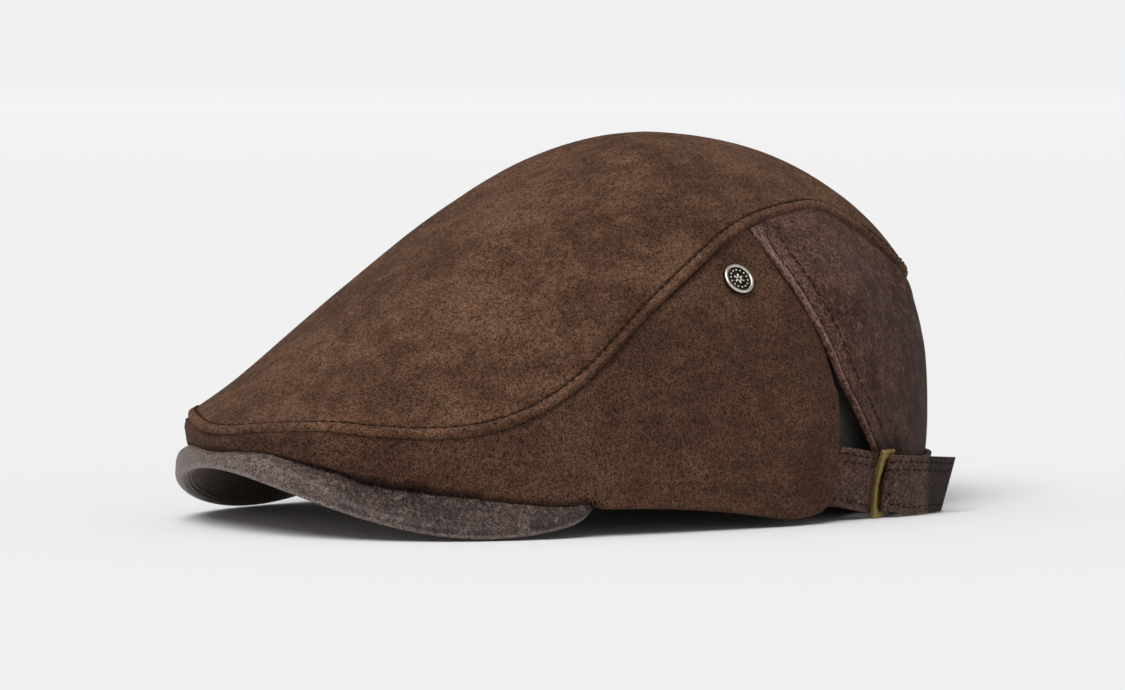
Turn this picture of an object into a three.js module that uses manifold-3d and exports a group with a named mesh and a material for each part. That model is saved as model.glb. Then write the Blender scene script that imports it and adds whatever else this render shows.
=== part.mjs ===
// Flat cap with a suede crown, a leather peak, a leather back panel and a back strap.
// Millimetres, +Z up. The peak points along -Y and the wearer's left side is +X.
// Model frame: y = 0 is above the ears, z = 0 is the surface that the cap rests on.
import * as THREE from "three";
import { mergeVertices } from "three/addons/utils/BufferGeometryUtils.js";
import Module from "manifold-3d";

const { Vector3 } = THREE;
const wasm = await Module();
wasm.setup();

// Driving sizes of the crown
const CROWN_WIDTH = 172; // between the shares 1 of the hem on both sides
const CROWN_LENGTH = 263.4; // front edge of the top panel to its back edge
const CROWN_HEIGHT = 124.6; // ground to the highest point
const CROWN_FRONT = -141.4; // y of the front edge of the top panel
const APEX_ALONG = 0.625; // highest point, as a share of the crown's length

// Walls and clearances
const SUEDE = 2.0;
const LEATHER = 2.0;
const LINING = 1.0;
const STRAP_LEATHER = 1.8;
const GAP = 0.3; // between pieces that touch on the real cap
const LINING_GAP = 0.7; // between the lining and the panels, which have other facets
const LINING_SAG = 2.5; // how much further inside it hangs at its lower edge
const LINING_SAG_UP = 0.45; // share of the panels' height below which it hangs so far inside
const STRAP_GAP = 0.5; // between the panels and the straight strips that lie on them

// Driving sizes of the peak, measured on the middle line of its rolled rim
const PEAK_HALF_WIDTH = 82.3;
const PEAK_DEPTH = 95.7; // tip to the two ends
const PEAK_TIP = -139.7; // y of the tip
const PEAK_TIP_HEIGHT = 22.3;
const PEAK_RISE = 0.355; // rise for each millimetre from the tip towards the head
const PEAK_ARCH_HEIGHT = 46.1; // drop from the middle to the sides at PEAK_HALF_WIDTH
const PEAK_ROUNDNESS = 2.15; // exponent of its outline, 2 being an ellipse
const PEAK_THICKNESS = 3.6;
const RIM_DIAMETER = 4.6;
const RIM_ROLL = 9; // width over which the peak swells to its rim
const TUCK_WIDTH = 6.2; // how far each end turns in behind the side panel
const TUCK_LENGTH = 10;

// Head opening
const HEAD_HALF_WIDTH = 81;
const HEAD_HALF_LENGTH = 97.5;
const HEAD_CENTRE = 15.5;

// Strap, tab and slider
const STRAP_WIDTH = 20.5;
const STRAP_NARROWING_WIDTH = 2.6; // how much narrower it is round the back and at its free end
const STRAP_END_RISE_HEIGHT = 3.2; // how much higher it and the tab are sewn in at the sides
const TAB_WIDTH = 19.6;
const TAB_LIFT_HEIGHT = 1.8; // the tab's and the fold's lower edge above the ground
const STRAP_SEWN_LENGTH = 9; // sewn length inside the side panels
const STRAP_RISE = 0.9; // sections over which the strap's lower edge rises to the tab's
const STRAP_BEND = 0.42; // sections before the slider where the strap turns to its fold
const CORNER_UP = { side: 0.12, back: 0.22 }; // where it passes the panels' rear corners
const SLIDER_BAR = 2.2; // width of its visible bar
const SLIDER_BACK_BAR = 1.5;
const SLIDER_WINDOW = 3.4;
const SLIDER_WIRE = 1.5; // thickness, and height of its top and bottom bars
const SLIDER_CORNER = 0.9;
const TAIL_LENGTH = 32;
const TAIL_SLANT_LENGTH = 5.6; // how much further its upper corner reaches than its lower one
const TAIL_DROP_HEIGHT = 1.5; // how far the tail's lower edge comes down past the slider
const TAIL_DROP_END = 0.25; // share of its length where it is down
const TAIL_FLARE_DEPTH = 3; // how far the tail's end stands off from its start

// Badge
const BADGE_RADIUS = 5.3;
const BADGE_HEIGHT = 1.9;
const BADGE_RIM = 0.9;
const BADGE_RECESS = 0.8;
const BADGE_SECTION = 7.45;
const BADGE_UP_PANEL = 0.86;

// Sections round the crown, from the front centre (row 0) to the back centre (row 12).
// hem: lower edge of the side and back panels. edge: lower edge of the top panel.
// across: share of half the width. along: share of the length. up: share of the height.
const HEM = [
  { across: 0.0, along: 0.004, up: 0.2 },
  { across: 0.287, along: 0.026, up: 0.188 },
  { across: 0.522, along: 0.08, up: 0.15 },
  { across: 0.706, along: 0.171, up: 0.11 },
  { across: 0.847, along: 0.254, up: 0.085 },
  { across: 0.957, along: 0.339, up: 0.071 },
  { across: 0.988, along: 0.452, up: 0.063 },
  { across: 0.983, along: 0.567, up: 0.036 },
  { across: 0.948, along: 0.659, up: 0.01 },
  { across: 0.831, along: 0.751, up: 0.008 },
  { across: 0.645, along: 0.864, up: 0.008 },
  { across: 0.372, along: 0.949, up: 0.008 },
  { across: 0.0, along: 0.982, up: 0.008 },
];
const EDGE = [
  { across: 0.0, along: 0.001, up: 0.247 },
  { across: 0.314, along: 0.026, up: 0.259 },
  { across: 0.541, along: 0.07, up: 0.266 },
  { across: 0.727, along: 0.146, up: 0.253 },
  { across: 0.86, along: 0.244, up: 0.273 },
  { across: 0.909, along: 0.347, up: 0.378 },
  { across: 0.855, along: 0.442, up: 0.53 },
  { across: 0.756, along: 0.549, up: 0.671 },
  { across: 0.651, along: 0.639, up: 0.761 },
  { across: 0.517, along: 0.746, up: 0.799 },
  { across: 0.388, along: 0.836, up: 0.767 },
  { across: 0.323, along: 0.941, up: 0.63 },
  { across: 0.0, along: 1, up: 0.578 },
];
// Curves of each section. slope: of the top panel at its edge, in degrees. near and far: how
// full the top panel is next to its edge and next to the apex, as shares of their distance.
// lean: of the hem, outwards from upright. fold: of the side panel in under the edge.
const CURVES = [
  { slope: 37.5, near: 0.38, far: 0.26, lean: 82, fold: 88 },
  { slope: 37, near: 0.39, far: 0.28, lean: 80, fold: 86 },
  { slope: 38.5, near: 0.38, far: 0.34, lean: 70, fold: 76 },
  { slope: 46, near: 0.36, far: 0.39, lean: 48, fold: 58 },
  { slope: 58, near: 0.33, far: 0.46, lean: 22, fold: 28 },
  { slope: 68, near: 0.3, far: 0.51, lean: 13, fold: 6 },
  { slope: 67, near: 0.3, far: 0.51, lean: 13, fold: 0 },
  { slope: 59, near: 0.31, far: 0.51, lean: 11, fold: 0 },
  { slope: 52, near: 0.3, far: 0.49, lean: 11, fold: 0 },
  { slope: 45, near: 0.3, far: 0.49, lean: 12, fold: 0 },
  { slope: 53, near: 0.27, far: 0.51, lean: 15, fold: 0 },
  { slope: 65, near: 0.26, far: 0.53, lean: 15, fold: 0 },
  { slope: 73, near: 0.24, far: 0.52, lean: 14, fold: 0 },
];
// Ends of the side panel and the back panel, as sections, at rising shares of the panel's height
const PANEL_ENDS = [
  { up: 0.0, side: 8.14, back: 9.72 },
  { up: 0.02, side: 8.33, back: 9.66 },
  { up: 0.05, side: 8.47, back: 9.57 },
  { up: 0.1, side: 8.57, back: 9.45 },
  { up: 0.2, side: 8.59, back: 9.17 },
  { up: 0.35, side: 8.57, back: 8.72 },
  { up: 0.41, side: 8.57, back: 8.57 },
  { up: 0.57, side: 8.4, back: 8.4 },
  { up: 0.74, side: 8.23, back: 8.23 },
  { up: 0.9, side: 8.06, back: 8.06 },
  { up: 1.0, side: 8.0, back: 8.0 },
];
// Lower edge of the lining, one for each section: -1 is the hem, 0 the top panel's edge, 1 the apex
const LINING_EDGE = [
  0.04, 0.04, 0.04, 0.03, -0.2, -0.6, -0.75, -0.86, -0.92, -0.93, -0.93, -0.93, -0.93,
];

const SECTIONS = HEM.length - 1;
const ROUND = 2 * SECTIONS;
const BAND_FULLNESS = 0.36; // length of the side panel's curve handles, as a share of its height
const UP = new Vector3(0, 0, 1);

// Mesh density
const STEPS_PER_SECTION = 3;
const TOP_STEPS = 10;
const PANEL_SHARES = [0, 0.02, 0.05, 0.1, 0.2, 0.32, 0.41, 0.52, 0.64, 0.76, 0.88, 1];
const LINING_STEPS_PER_SECTION = 2;
const LINING_STEPS = 12;
const PEAK_STEPS = 36;
const PEAK_CROWDING = 80; // degrees: the nearer to 90, the closer its sections near both ends
const STRAP_STEPS = 36;
const TAB_STEPS = 12;
const TAIL_STEPS = 8;
const BADGE_STEPS = 24;

const degrees = (angle) => THREE.MathUtils.degToRad(angle);
const mix = THREE.MathUtils.lerp;
const ease = (share) => THREE.MathUtils.smoothstep(share, 0, 1);
const steps = (count) => Array.from({ length: count + 1 }, (_, i) => i / count);

// Smooth closed curve through values that are spaced one section apart
function closedCurve(values) {
  const count = values.length;
  const slopes = values.map(() => 0);
  for (let pass = 0; pass < 30; pass += 1) {
    for (let i = 0; i < count; i += 1) {
      const before = (i + count - 1) % count;
      const after = (i + 1) % count;
      const span = 3 * (values[after] - values[before]);
      slopes[i] = (span - slopes[before] - slopes[after]) / 4;
    }
  }
  return (section) => {
    const place = THREE.MathUtils.euclideanModulo(section, count);
    const i = Math.min(Math.floor(place), count - 1);
    const next = (i + 1) % count;
    const f = place - i;
    const bend = values[i] * (1 + 2 * f) * (1 - f) ** 2 + values[next] * f * f * (3 - 2 * f);
    return bend + slopes[i] * f * (1 - f) ** 2 + slopes[next] * f * f * (f - 1);
  };
}

// A column of a table goes down the left side and comes back mirrored up the right side
function aroundCrown(rows, read, mirrorSign = 1) {
  const left = rows.map(read);
  const right = left.slice(1, -1).reverse().map((value) => value * mirrorSign);
  return closedCurve([...left, ...right]);
}

function edgeLine(rows) {
  const x = aroundCrown(rows, (row) => (row.across * CROWN_WIDTH) / 2, -1);
  const y = aroundCrown(rows, (row) => CROWN_FRONT + row.along * CROWN_LENGTH);
  const z = aroundCrown(rows, (row) => row.up * CROWN_HEIGHT);
  return (section) => new Vector3(x(section), y(section), z(section));
}

const hemAt = edgeLine(HEM);
const edgeAt = edgeLine(EDGE);
const slopeAt = aroundCrown(CURVES, (row) => degrees(row.slope));
const nearAt = aroundCrown(CURVES, (row) => row.near);
const farAt = aroundCrown(CURVES, (row) => row.far);
const leanAt = aroundCrown(CURVES, (row) => degrees(row.lean));
const foldAt = aroundCrown(CURVES, (row) => degrees(row.fold));
const liningEdgeAt = aroundCrown(LINING_EDGE, (place) => place);
const apex = new Vector3(0, CROWN_FRONT + APEX_ALONG * CROWN_LENGTH, CROWN_HEIGHT);

// Horizontal direction from the apex out to a point
const outwardTo = (point) => point.clone().sub(apex).setZ(0).normalize();
const tilted = (outward, angle) =>
  outward.clone().multiplyScalar(-Math.cos(angle)).addScaledVector(UP, Math.sin(angle));

// Outer surface of the top panel: share 0 at its edge, 1 at the apex
function topPoint(section, share) {
  const edge = edgeAt(section);
  const outward = outwardTo(edge);
  const reach = Math.hypot(edge.x - apex.x, edge.y - apex.y);
  const nearHandle = edge.clone().addScaledVector(
    tilted(outward, slopeAt(section)), nearAt(section) * reach);
  const farHandle = apex.clone().addScaledVector(outward, farAt(section) * reach);
  return new THREE.CubicBezierCurve3(edge, nearHandle, farHandle, apex).getPoint(share);
}

// Outer surface of the side and back panels: share 0 at the hem, 1 at the top panel's edge
function bandPoint(section, share) {
  const hem = hemAt(section);
  const edge = edgeAt(section);
  const handle = BAND_FULLNESS * hem.distanceTo(edge);
  const lean = leanAt(section);
  const hemHandle = hem.clone()
    .addScaledVector(outwardTo(hem), handle * Math.sin(lean))
    .addScaledVector(UP, handle * Math.cos(lean));
  const fold = slopeAt(section) + foldAt(section);
  const edgeHandle = edge.clone().addScaledVector(tilted(outwardTo(edge), fold), -handle);
  return new THREE.CubicBezierCurve3(hem, hemHandle, edgeHandle, edge).getPoint(share);
}

function normalOf(surface, section, share) {
  const d = 0.002;
  const low = Math.max(share - d, 0);
  const high = Math.min(share + d, 1);
  const round = surface(section + d, share).sub(surface(section - d, share));
  const rise = surface(section, high).sub(surface(section, low));
  return round.cross(rise).normalize();
}

// Outward direction of each wall's thickness. Panels share one direction along their seam.
function topOutward(section, share) {
  if (share > 0.995) return UP.clone();
  return normalOf(topPoint, section, share);
}
function bandOutward(section, share) {
  const own = normalOf(bandPoint, section, share);
  return own.lerp(topOutward(section, 0), share ** 3).normalize();
}
const topWall = (section, share, depth) =>
  topPoint(section, share).addScaledVector(topOutward(section, share), -depth);
const bandWall = (section, share, depth) =>
  bandPoint(section, share).addScaledVector(bandOutward(section, share), -depth);

// Share of the height at which the outer surface of the panels passes a height above the ground
function shareAtHeight(section, height) {
  let low = 0;
  let high = 0.7;
  for (let pass = 0; pass < 20; pass += 1) {
    const middle = (low + high) / 2;
    if (bandPoint(section, middle).z < height) low = middle;
    else high = middle;
  }
  return (low + high) / 2;
}

// Reads a column of PANEL_ENDS at a share of the height
function panelEnd(share, name) {
  const above = Math.max(PANEL_ENDS.findIndex((row) => row.up >= share), 1);
  const a = PANEL_ENDS[above - 1];
  const b = PANEL_ENDS[above];
  return mix(a[name], b[name], (share - a.up) / (b.up - a.up));
}
const millimetresPerSection = (section, share) =>
  bandPoint(section + 0.05, share).distanceTo(bandPoint(section - 0.05, share)) / 0.1;

// Mesh from points and triangles, turned so that its faces point outwards
function meshOf(points, triangles) {
  const geometry = new THREE.BufferGeometry();
  geometry.setAttribute("position",
    new THREE.Float32BufferAttribute(points.flatMap((p) => [p.x, p.y, p.z]), 3));
  let volume = 0;
  for (const [a, b, c] of triangles) {
    volume += points[a].dot(points[b].clone().cross(points[c]));
  }
  const turned = volume > 0 ? triangles : triangles.map(([a, b, c]) => [a, c, b]);
  geometry.setIndex(turned.flat());
  return geometry;
}

// Closed wall between an outer and an inner sheet of points, sheet[i][j]. round: the rows i go
// all the way round. poles: the outer and inner point that close it beyond the last j.
function wall(outer, inner, { round = false, poles = null } = {}) {
  const rows = outer.length;
  const columns = outer[0].length;
  const points = [...outer.flat(), ...inner.flat()];
  const out = (i, j) => (i % rows) * columns + j;
  const back = (i, j) => rows * columns + out(i, j);
  const triangles = [];
  const quad = (a, b, c, d) => triangles.push([a, b, c], [a, c, d]);
  const lastRow = round ? rows : rows - 1;
  for (let i = 0; i < lastRow; i += 1) {
    for (let j = 0; j < columns - 1; j += 1) {
      quad(out(i, j), out(i + 1, j), out(i + 1, j + 1), out(i, j + 1));
      quad(back(i, j), back(i, j + 1), back(i + 1, j + 1), back(i + 1, j));
    }
    const top = columns - 1;
    quad(out(i + 1, 0), out(i, 0), back(i, 0), back(i + 1, 0));
    if (poles) {
      triangles.push([out(i, top), out(i + 1, top), points.length]);
      triangles.push([back(i + 1, top), back(i, top), points.length + 1]);
    } else {
      quad(out(i, top), out(i + 1, top), back(i + 1, top), back(i, top));
    }
  }
  if (!round) {
    for (let j = 0; j < columns - 1; j += 1) {
      quad(out(0, j), out(0, j + 1), back(0, j + 1), back(0, j));
      quad(out(rows - 1, j + 1), out(rows - 1, j), back(rows - 1, j), back(rows - 1, j + 1));
    }
  }
  if (poles) points.push(...poles);
  return meshOf(points, triangles);
}

// Closed tube through loops of points, loops[i][j], with flat ends
function tube(loops) {
  const size = loops[0].length;
  const points = loops.flat();
  const triangles = [];
  for (let i = 0; i < loops.length - 1; i += 1) {
    for (let j = 0; j < size; j += 1) {
      const k = (j + 1) % size;
      const here = i * size;
      const next = here + size;
      triangles.push([here + j, next + j, next + k], [here + j, next + k, here + k]);
    }
  }
  const last = points.length - size;
  for (let j = 1; j < size - 1; j += 1) {
    triangles.push([0, j, j + 1], [last, last + j + 1, last + j]);
  }
  return meshOf(points, triangles);
}

function solidOf(geometry) {
  const bare = geometry.clone();
  bare.deleteAttribute("normal");
  bare.deleteAttribute("uv");
  const merged = mergeVertices(bare, 1e-4);
  return new wasm.Manifold(new wasm.Mesh({
    numProp: 3,
    vertProperties: merged.attributes.position.array,
    triVerts: new Uint32Array(merged.index.array),
  }));
}

function geometryOf(solid) {
  const { vertProperties, triVerts } = solid.getMesh();
  const geometry = new THREE.BufferGeometry();
  geometry.setAttribute("position", new THREE.BufferAttribute(vertProperties, 3));
  geometry.setIndex(new THREE.BufferAttribute(triVerts, 1));
  return geometry;
}

const crownSections = (perSection) =>
  Array.from({ length: ROUND * perSection }, (_, i) => i / perSection);

// Top panel: one large suede oval over the whole crown
function topPanel() {
  const sheet = (depth) => crownSections(STEPS_PER_SECTION).map((section) => {
    const edge = edgeAt(section);
    const reach = Math.hypot(edge.x - apex.x, edge.y - apex.y);
    const first = GAP / (3 * nearAt(section) * reach);
    return steps(TOP_STEPS).slice(0, -1).map((t) => topWall(section, mix(first, 1, t), depth));
  });
  const poles = [apex, apex.clone().addScaledVector(UP, -SUEDE)];
  return wall(sheet(0), sheet(SUEDE), { round: true, poles });
}

// Share of the height where the side and back panels stop under the top panel
function bandTop(section) {
  const height = hemAt(section).distanceTo(edgeAt(section));
  return 1 - GAP / (3 * BAND_FULLNESS * height);
}

// Side panel: suede band round the front, from one rear corner to the other
function sidePanel() {
  const count = 2 * PANEL_ENDS.at(-1).side * STEPS_PER_SECTION;
  const across = steps(count).map((share) => 2 * share - 1);
  const sheet = (depth) => across.map((u) => PANEL_SHARES.map((up) => {
    const end = panelEnd(up, "side");
    const section = u * (end - GAP / millimetresPerSection(end, up));
    return bandWall(section, up * bandTop(section), depth);
  }));
  return wall(sheet(0), sheet(SUEDE));
}

// Back panel: leather, wide under the top panel and narrow behind the strap
function backPanel() {
  const count = 2 * (SECTIONS - PANEL_ENDS.at(-1).back) * STEPS_PER_SECTION;
  const sheet = (depth) => steps(count).map((share) => PANEL_SHARES.map((up) => {
    const end = panelEnd(up, "back");
    const start = end + GAP / millimetresPerSection(end, up);
    const section = mix(start, ROUND - start, share);
    return bandWall(section, up * bandTop(section), depth);
  }));
  return wall(sheet(0), sheet(LEATHER));
}

// Lining: cloth shell a gap inside the panels
function lining() {
  const outerDepth = Math.max(SUEDE, LEATHER) + LINING_GAP;
  const sheet = (depth) => crownSections(LINING_STEPS_PER_SECTION).map((section) => {
    const places = steps(LINING_STEPS).slice(0, -1).map((t) => mix(liningEdgeAt(section), 1, t));
    const sag = (place) => LINING_SAG * ease(-place / (1 - LINING_SAG_UP));
    return places.map((place) => (place < 0
      ? bandWall(section, 1 + place, depth + sag(place))
      : topWall(section, place, depth)));
  });
  const poles = [outerDepth, outerDepth + LINING]
    .map((depth) => apex.clone().addScaledVector(UP, -depth));
  return wall(sheet(outerDepth), sheet(outerDepth + LINING), { round: true, poles });
}

// Peak. Middle surface over a place in plan, and its upward direction
const peakDrop = PEAK_ARCH_HEIGHT / PEAK_HALF_WIDTH ** 2;
const peakHeight = (x, y) => PEAK_TIP_HEIGHT - peakDrop * x * x + PEAK_RISE * (y - PEAK_TIP);
const peakUp = (x) => new Vector3(2 * peakDrop * x, -PEAK_RISE, 1).normalize();

// Rim's middle line in plan: share -1 at the right end, 0 at the tip, 1 at the left end
function rimPlan(share) {
  const angle = (share * Math.PI) / 2;
  const power = 2 / PEAK_ROUNDNESS;
  const y = PEAK_TIP + PEAK_DEPTH * (1 - Math.cos(angle) ** power);
  const end = PEAK_TIP + PEAK_DEPTH;
  const tuck = TUCK_WIDTH * ease(1 - (end - y) / TUCK_LENGTH);
  const x = PEAK_HALF_WIDTH * Math.abs(Math.sin(angle)) ** power - tuck;
  return new THREE.Vector2(Math.sign(share) * x, y);
}

// Rear edge of the peak in plan, along the forehead
function foreheadPlan(share) {
  const end = Math.acos((HEAD_CENTRE - PEAK_TIP - PEAK_DEPTH) / HEAD_HALF_LENGTH);
  const x = HEAD_HALF_WIDTH * Math.sin(share * end);
  return new THREE.Vector2(x, HEAD_CENTRE - HEAD_HALF_LENGTH * Math.cos(share * end));
}

// Closed section of the peak: over the top to the rim, round it, and back underneath
function peakSection(share, extra) {
  const rim = rimPlan(share);
  const forehead = foreheadPlan(share);
  const depth = rim.distanceTo(forehead);
  const line = [0, 0.25, 0.5, 0.75, 0.92].map((t) => {
    const place = forehead.clone().lerp(rim, t);
    const swell = ease(1 - ((1 - t) * depth) / RIM_ROLL);
    return { place, half: mix(PEAK_THICKNESS, RIM_DIAMETER, swell) / 2 + extra };
  });
  const over = ({ place, half }, side) =>
    new Vector3(place.x, place.y, peakHeight(place.x, place.y))
      .addScaledVector(peakUp(place.x), side * half);
  const centre = new Vector3(rim.x, rim.y, peakHeight(rim.x, rim.y));
  const up = peakUp(rim.x);
  const ahead = rimPlan(Math.min(share + 0.01, 1)).sub(rimPlan(Math.max(share - 0.01, -1)));
  const out = new Vector3(ahead.y, -ahead.x, 0);
  out.addScaledVector(up, -out.dot(up)).normalize();
  const radius = RIM_DIAMETER / 2 + extra;
  const roll = [90, 54, 18, -18, -54, -90].map((angle) => centre.clone()
    .addScaledVector(up, radius * Math.sin(degrees(angle)))
    .addScaledVector(out, radius * Math.cos(degrees(angle))));
  return [
    ...line.map((point) => over(point, 1)),
    ...roll,
    ...line.reverse().map((point) => over(point, -1)),
  ];
}

// extra: growth all round, for the clearance that the side panel keeps to it
function peak(extra = 0) {
  const last = degrees(PEAK_CROWDING);
  const shares = steps(PEAK_STEPS)
    .map((share) => Math.sin((2 * share - 1) * last) / Math.sin(last));
  return tube(shares.map((share) => peakSection(share, extra)));
}

// Point beside the outer surface of the panels: outside is positive, height above the ground
function besideBand(section, height, outside) {
  return bandWall(section, shareAtHeight(section, height), -outside).setZ(height);
}

// Leather strip through stations. Each has inner and outer points at its low, middle and high.
function strip(stations) {
  return tube(stations.map(({ inner, outer }) => [...inner, ...outer.slice().reverse()]));
}

// Both leather strips start inside the side panel and come out over the back panel.
// Returns how far the strip's inner face lies outside the panels' outer surface.
const SLIDER_SECTION = 9.29;
const sideEnd = panelEnd(CORNER_UP.side, "side");
const backStart = panelEnd(CORNER_UP.back, "back");
function stripOutside(section) {
  const inside = -(SUEDE + STRAP_GAP + STRAP_LEATHER);
  return mix(inside, STRAP_GAP, ease((section - sideEnd) / (backStart - sideEnd)));
}
const tuckSection = sideEnd - STRAP_SEWN_LENGTH / millimetresPerSection(sideEnd, CORNER_UP.side);

// Rise of the strips towards the side panels, where they are sewn in
function endRise(section) {
  const run = SLIDER_SECTION - sideEnd;
  return STRAP_END_RISE_HEIGHT * ease((SLIDER_SECTION - Math.min(section, ROUND - section)) / run);
}

// Station of a strip that follows the panels
function stripStation(section, low, high) {
  const outside = stripOutside(Math.min(section, ROUND - section));
  const heights = [low, (low + high) / 2, high];
  return {
    inner: heights.map((height) => besideBand(section, height, outside)),
    outer: heights.map((height) => besideBand(section, height, outside + STRAP_LEATHER)),
  };
}

// Slider's frame of reference. It stands on the ground and leans with the panels.
const onSlider = (height, section = SLIDER_SECTION) => besideBand(section, height, STRAP_GAP);
const sliderBulge = onSlider(STRAP_WIDTH / 2)
  .addScaledVector(onSlider(0), -0.5).addScaledVector(onSlider(STRAP_WIDTH), -0.5);
const sliderPlace = onSlider(0).add(sliderBulge).setZ(0);
const sliderAlong = onSlider(STRAP_WIDTH / 2, SLIDER_SECTION + 0.1)
  .sub(onSlider(STRAP_WIDTH / 2, SLIDER_SECTION - 0.1)).setZ(0).normalize();
const sliderUp = onSlider(STRAP_WIDTH).sub(onSlider(0));
sliderUp.addScaledVector(sliderAlong, -sliderAlong.dot(sliderUp)).normalize();
const sliderOut = sliderAlong.clone().cross(sliderUp);
// along: towards the back centre. out: away from the cap. height: above the ground.
function bySlider(along, out, height) {
  const foot = sliderPlace.clone().addScaledVector(sliderAlong, along)
    .addScaledVector(sliderOut, out);
  return foot.addScaledVector(sliderUp, (height - foot.z) / sliderUp.z);
}
const backBarStart = SLIDER_BAR / 2 + SLIDER_WINDOW;
const foldCentre = backBarStart + SLIDER_BACK_BAR / 2;
const foldRadius = Math.hypot(SLIDER_BACK_BAR, SLIDER_WIRE) / 2 + GAP;
const outOfFold = STRAP_LEATHER + foldRadius; // the fold's middle, outside the panels
const frameLow = outOfFold - SLIDER_WIRE / 2;
const SLIDER_FOOT = 0.3; // its lower edge above the ground, because it leans

// Station of a strip across the slider's frame of reference. inner and outer are the along and
// out of its two faces. slant: how far its upper edge is ahead of its lower one.
function sliderStation(inner, outer, low, high, slant = 0) {
  const raise = ([along, out]) => [0, 0.5, 1].map((share) =>
    bySlider(along - slant * (1 - share), out, mix(low, high, share)));
  return { inner: raise(inner), outer: raise(outer) };
}

// Tab: from inside the left side panel to under the slider's visible bar
function strapTab() {
  return strip(steps(TAB_STEPS).map((share) => {
    const section = mix(tuckSection, SLIDER_SECTION, share);
    const low = TAB_LIFT_HEIGHT + endRise(section);
    return stripStation(section, low, low + TAB_WIDTH);
  }));
}

// Strap: from inside the right side panel, round the back to the slider, folded round its
// back bar and out again as a free tail
function strap() {
  const bySliderShare = (section) => ease(1 - (section - SLIDER_SECTION) / STRAP_RISE);
  const first = ROUND - tuckSection;
  const last = SLIDER_SECTION + STRAP_BEND;
  const around = steps(STRAP_STEPS).map((share) => {
    const section = mix(first, last, share);
    const near = bySliderShare(section);
    const low = TAB_LIFT_HEIGHT * near + endRise(section);
    const high = STRAP_WIDTH - STRAP_NARROWING_WIDTH * (1 - near) + endRise(section);
    return stripStation(section, low, high);
  });
  const fold = [90, 60, 30, 0, -30, -60, -90].map((angle) => {
    const ahead = Math.cos(degrees(angle));
    const inwards = Math.sin(degrees(angle));
    const outerRadius = foldRadius + STRAP_LEATHER;
    const face = (radius) => [foldCentre - radius * ahead, outOfFold - radius * inwards];
    return sliderStation(face(outerRadius), face(foldRadius), TAB_LIFT_HEIGHT, STRAP_WIDTH);
  });
  const tail = steps(TAIL_STEPS).slice(1).map((share) => {
    const along = foldCentre + TAIL_LENGTH * share;
    const base = outOfFold + foldRadius + TAIL_FLARE_DEPTH * share * (2 - share);
    const low = TAB_LIFT_HEIGHT - TAIL_DROP_HEIGHT * ease(share / TAIL_DROP_END);
    const high = STRAP_WIDTH - STRAP_NARROWING_WIDTH * share;
    return sliderStation(
      [along, base + STRAP_LEATHER], [along, base], low, high, TAIL_SLANT_LENGTH * share);
  });
  return strip([...around, ...fold, ...tail]);
}

// Slider: flat brass frame that the tab and the strap's fold pass through
function slider() {
  const left = -SLIDER_BAR / 2;
  const right = foldCentre + SLIDER_BACK_BAR / 2;
  const bottom = SLIDER_FOOT;
  const top = (STRAP_WIDTH + 2 * GAP) / sliderUp.z + SLIDER_WIRE;
  const corner = SLIDER_CORNER;
  const frame = new THREE.Shape();
  frame.moveTo(left + corner, bottom);
  frame.lineTo(right - corner, bottom);
  frame.quadraticCurveTo(right, bottom, right, bottom + corner);
  frame.lineTo(right, top - corner);
  frame.quadraticCurveTo(right, top, right - corner, top);
  frame.lineTo(left + corner, top);
  frame.quadraticCurveTo(left, top, left, top - corner);
  frame.lineTo(left, bottom + corner);
  frame.quadraticCurveTo(left, bottom, left + corner, bottom);
  const opening = new THREE.Path();
  const low = (TAB_LIFT_HEIGHT - GAP) / sliderUp.z;
  const high = (STRAP_WIDTH + 2 * GAP) / sliderUp.z;
  opening.moveTo(left + SLIDER_BAR, low);
  opening.lineTo(left + SLIDER_BAR, high);
  opening.lineTo(backBarStart, high);
  opening.lineTo(backBarStart, low);
  opening.closePath();
  frame.holes.push(opening);
  const plate = new THREE.ExtrudeGeometry(frame, {
    depth: SLIDER_WIRE, bevelEnabled: false, curveSegments: 4,
  });
  const place = new THREE.Matrix4().makeBasis(sliderAlong, sliderUp, sliderOut);
  plate.applyMatrix4(place.setPosition(bySlider(0, frameLow, 0)));
  return plate;
}

// Badge: round metal button with a raised rim, a recessed face and a small dome
function badge() {
  const floor = BADGE_HEIGHT - BADGE_RECESS;
  const inner = BADGE_RADIUS - BADGE_RIM;
  const profile = [
    [0, 0], [BADGE_RADIUS, 0], [BADGE_RADIUS, BADGE_HEIGHT * 0.75],
    [BADGE_RADIUS - BADGE_RIM * 0.3, BADGE_HEIGHT], [inner + BADGE_RIM * 0.2, BADGE_HEIGHT],
    [inner, floor], [BADGE_RADIUS * 0.26, floor], [BADGE_RADIUS * 0.16, BADGE_HEIGHT * 0.85],
    [0, BADGE_HEIGHT * 0.92],
  ].map(([radius, height]) => new THREE.Vector2(radius, height));
  const button = new THREE.LatheGeometry(profile, BADGE_STEPS);
  const out = bandOutward(BADGE_SECTION, BADGE_UP_PANEL);
  const seat = bandPoint(BADGE_SECTION, BADGE_UP_PANEL).addScaledVector(out, GAP);
  button.applyQuaternion(new THREE.Quaternion().setFromUnitVectors(new Vector3(0, 1, 0), out));
  return button.translate(seat.x, seat.y, seat.z);
}

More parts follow.
